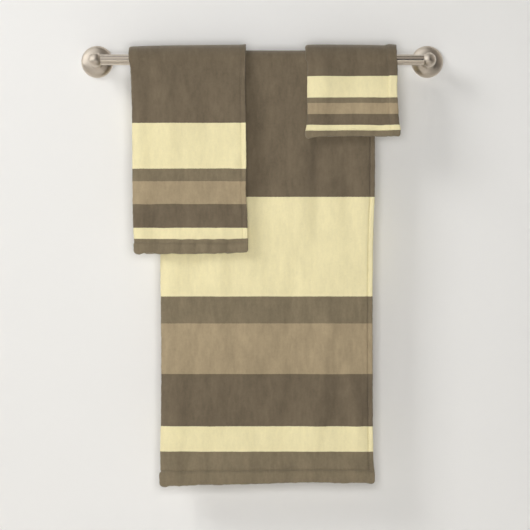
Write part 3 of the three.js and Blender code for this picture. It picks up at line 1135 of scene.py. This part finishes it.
bath = Towel(
    "bath_towel",
    flat=(0.762, 1.524),
    stripes=(0.0558, 0.0990, 0.1932, 0.2800, 0.3291, 0.5043),
    left=(
        (0.0, -0.1803), (0.32, -0.1808), (0.52, -0.1790), (0.61, -0.1793), (0.7, -0.1808),
        (0.749, -0.1803),
    ),
    right=(
        (0.0, 0.1985), (0.14, 0.1994), (0.23, 0.1990), (0.3, 0.1966), (0.43, 0.1952),
        (0.62, 0.1955), (0.71, 0.1968), (0.735, 0.1992), (0.749, 0.1985),
    ),
    top=((0.0, 0.01325), (1.0, 0.01325)),
    top_edge=((0.0, 0.0000), (1.0, 0.0000)),
    low_edge=(
        (0.0, -0.0032), (0.2, -0.0022), (0.36, -0.0012), (0.55, 0.0008), (0.72, 0.0024),
        (0.82, 0.0012), (1.0, 0.0012),
    ),
    reach=0.01325,
    front=0.749,
    back=0.733,
    hem=0.0235,
    side_hem=0.0085,
    hem_rise=0.0019,
    side_rise=0.001,
    side_slope=0.005,
    groove=0.0014,
    roll=0.0112,
    roll_width=0.018,
    sink=0.009,
    valley=0.0,
    relief=[
        (0.166, 0.560, 0.034, 0.130, 0.0, -0.0055),
        (0.252, 0.560, 0.020, 0.150, 2.0, 0.0026),
        (0.281, 0.560, 0.012, 0.130, 0.0, -0.0032),
        (0.330, 0.540, 0.014, 0.080, 0.0, -0.0028),
        (0.360, 0.530, 0.013, 0.090, 0.0, 0.0036),
        (0.070, 0.400, 0.018, 0.060, -20.0, -0.0024),
        (0.108, 0.360, 0.014, 0.060, 0.0, 0.0028),
        (0.130, 0.250, 0.020, 0.100, 4.0, -0.0020),
        (0.238, 0.250, 0.019, 0.150, 3.0, -0.0058),
        (0.292, 0.210, 0.015, 0.120, 6.0, 0.0056),
        (0.317, 0.150, 0.012, 0.040, 10.0, -0.0044),
        (0.350, 0.135, 0.011, 0.050, -8.0, 0.0044),
        (0.095, 0.150, 0.016, 0.050, 20.0, 0.0022),
        (0.160, 0.110, 0.018, 0.045, -15.0, -0.0022),
        (0.032, 0.036, 0.010, 0.022, 40.0, 0.0026),
    ],
)
settle(bath, seed=11)
front_and_back(
    bath,
    step=0.0045,
    behind_step=0.008,
)

# ---------------------------------------------------------------- hand towel
# The same velour and print, folded once along its length. It hangs over the bath towel, with its
# left end over the bare rail.
hand = Towel(
    "hand_towel",
    flat=(0.406, 0.711),
    stripes=(0.0238, 0.0443, 0.0855, 0.1258, 0.1479, 0.2278),
    left=(
        (0.0, -0.2358), (0.02, -0.2322), (0.07, -0.2302), (0.14, -0.2293), (0.25, -0.2287),
        (0.3, -0.2275), (0.325, -0.2258), (0.342, -0.2256),
    ),
    right=(
        (0.0, -0.0290), (0.05, -0.0300), (0.1, -0.0290), (0.15, -0.0284), (0.22, -0.0286),
        (0.27, -0.0264), (0.325, -0.0250), (0.342, -0.0252),
    ),
    top=((0.0, 0.0202), (0.3, 0.0222), (1.0, 0.0236)),
    top_edge=((0.0, -0.0012), (0.04, 0.0000), (1.0, 0.0000)),
    low_edge=(
        (0.0, 0.0012), (0.1, -0.0004), (0.45, -0.0012), (0.75, -0.0004), (0.92, 0.0010),
        (1.0, 0.0022),
    ),
    reach=0.02345,
    front=0.342,
    back=0.295,
    hem=0.018,
    side_hem=0.0088,
    hem_rise=0.0012,
    side_rise=0.0036,
    side_slope=0.008,
    groove=0.0004,
    roll=0.0084,
    roll_width=0.01,
    sink=0.0016,
    valley=0.0044,
    relief=[
        (0.066, 0.250, 0.010, 0.090, 0.0, 0.0022),
        (0.134, 0.245, 0.026, 0.070, 8.0, -0.0044),
        (0.184, 0.230, 0.016, 0.060, 0.0, 0.0020),
        (0.176, 0.140, 0.018, 0.060, 30.0, 0.0036),
        (0.036, 0.085, 0.012, 0.026, 35.0, -0.0034),
        (0.064, 0.068, 0.011, 0.024, 35.0, 0.0030),
        (0.150, 0.076, 0.012, 0.020, 12.0, 0.0026),
        (0.084, 0.013, 0.0075, 0.012, 12.0, -0.0030),
        (0.112, 0.012, 0.0075, 0.012, 12.0, -0.0034),
        (0.140, 0.013, 0.0070, 0.012, 15.0, -0.0034),
        (0.168, 0.013, 0.0080, 0.013, 10.0, -0.0036),
    ],
)
settle(hand, seed=23, share=0.5)
front_and_back(
    hand,
    step=0.0035,
    behind_step=0.006,
)

# ---------------------------------------------------------------- washcloth
# The smallest of the set, folded once and hung over the bath towel at the right. Its side hem is
# wide for its size, and the seam in it stands up as a ridge.
wash = Towel(
    "washcloth",
    flat=(0.330, 0.330),
    stripes=(0.0103, 0.0197, 0.0387, 0.0581, 0.0682, 0.1056),
    left=(
        (0.0, 0.0762), (0.006, 0.0790), (0.02, 0.0798), (0.06, 0.0793), (0.1, 0.0797),
        (0.115, 0.0782), (0.128, 0.0762), (0.1365, 0.0768),
    ),
    right=(
        (0.0, 0.2372), (0.01, 0.2388), (0.03, 0.2384), (0.055, 0.2374), (0.075, 0.2390),
        (0.11, 0.2412), (0.128, 0.2438), (0.1365, 0.2436),
    ),
    top=(
        (0.0, 0.0232), (0.15, 0.0238), (0.5, 0.0235), (0.78, 0.0229), (0.86, 0.0225),
        (0.91, 0.0236), (1.0, 0.0225),
    ),
    top_edge=((0.0, -0.0010), (0.04, 0.0000), (1.0, 0.0000)),
    low_edge=((0.0, -0.0012), (0.1, -0.0008), (0.5, 0.0000), (0.85, 0.0000), (1.0, 0.0012)),
    reach=0.02345,
    front=0.1365,
    back=0.1195,
    hem=0.012,
    side_hem=0.0175,
    hem_rise=0.0012,
    side_rise=0.0036,
    side_slope=0.0045,
    groove=0.0003,
    roll=0.0076,
    roll_width=0.011,
    sink=0.0,
    valley=0.0,
    relief=[
        (0.030, 0.100, 0.012, 0.050, 0.0, 0.0012),
        (0.086, 0.098, 0.026, 0.060, 18.0, -0.0036),
        (0.008, 0.008, 0.009, 0.010, 0.0, 0.0020),
        (0.128, 0.010, 0.009, 0.010, 0.0, -0.0022),
    ],
)
settle(wash, seed=37, share=0.5)
front_and_back(
    wash,
    step=0.003,
    behind_step=0.005,
)
